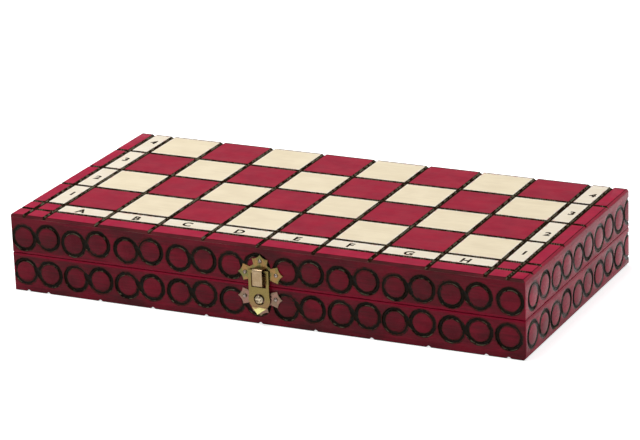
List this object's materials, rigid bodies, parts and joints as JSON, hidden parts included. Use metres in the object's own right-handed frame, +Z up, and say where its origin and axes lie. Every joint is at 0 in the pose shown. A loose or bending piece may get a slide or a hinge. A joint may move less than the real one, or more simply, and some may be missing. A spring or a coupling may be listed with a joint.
{
  "type": "folding chess box",
  "caption": "Folding chess box: two hinged wooden trays whose outsides form the board, with partitioned felt-lined insides and a swinging brass hasp latch.",
  "frame": {"origin": "centre of the closed box's wooden footprint, on the underside; the latch and the hinge knuckles move the centre of the whole bounding box by under 2 mm", "axes": "+X along the length, to the right seen from the latch; -Y towards the latch, +Y towards the hinges; +Z up"},
  "size_m": [0.35, 0.1833, 0.051],
  "materials": {
    "stained_board": "glossy lacquer over red and natural squares",
    "stained_wall": "glossy lacquer over red stain, burnt ornament",
    "bare_wood": "smooth unstained lime wood",
    "felt": "green felt",
    "latch_brass": "brass plating with a passivated sheen",
    "latch_plate_pink": "brass plating, worn to a pinkish silver",
    "nail_steel": "bright steel",
    "hinge_brass": "plain brass plating"
  },
  "bodies": {
    "base_box": {"base_board": "stained_board", "base_front_rail": "stained_wall", "base_back_rail": "stained_wall", "base_left_rail": "stained_wall", "base_right_rail": "stained_wall", "base_felt": "felt", "base_long_slat": "bare_wood", "base_cross_slat_1": "bare_wood", "base_cross_slat_2": "bare_wood", "base_cross_slat_3": "bare_wood", "base_hinge_nails": "nail_steel", "latch_lower_plate": "latch_plate_pink", "latch_lower_nails": "nail_steel", "left_hinge_base_leaf": "hinge_brass", "right_hinge_base_leaf": "hinge_brass", "left_hinge_pin": "hinge_brass", "right_hinge_pin": "hinge_brass"},
    "lid_box": {"lid_board": "stained_board", "lid_front_rail": "stained_wall", "lid_back_rail": "stained_wall", "lid_left_rail": "stained_wall", "lid_right_rail": "stained_wall", "lid_felt": "felt", "lid_long_slat": "bare_wood", "lid_cross_slat_1": "bare_wood", "lid_cross_slat_2": "bare_wood", "lid_cross_slat_3": "bare_wood", "lid_hinge_nails": "nail_steel", "latch_upper_plate": "latch_brass", "latch_upper_nails": "nail_steel", "left_hinge_lid_leaf": "hinge_brass", "right_hinge_lid_leaf": "hinge_brass"},
    "hasp": {"latch_hasp": "latch_brass"}
  },
  "joints": [
    {"name": "lid_hinge", "type": "hinge", "parent": "base_box", "child": "lid_box", "pos_m": [0, 0.0881, 0.0255], "axis": [-1, 0, 0], "range_deg": [0, 180]},
    {"name": "hasp_swing", "type": "hinge", "parent": "lid_box", "child": "hasp", "pos_m": [0.00045, -0.08995, 0.035], "axis": [-1, 0, 0], "range_deg": [0, 150]}
  ]
}
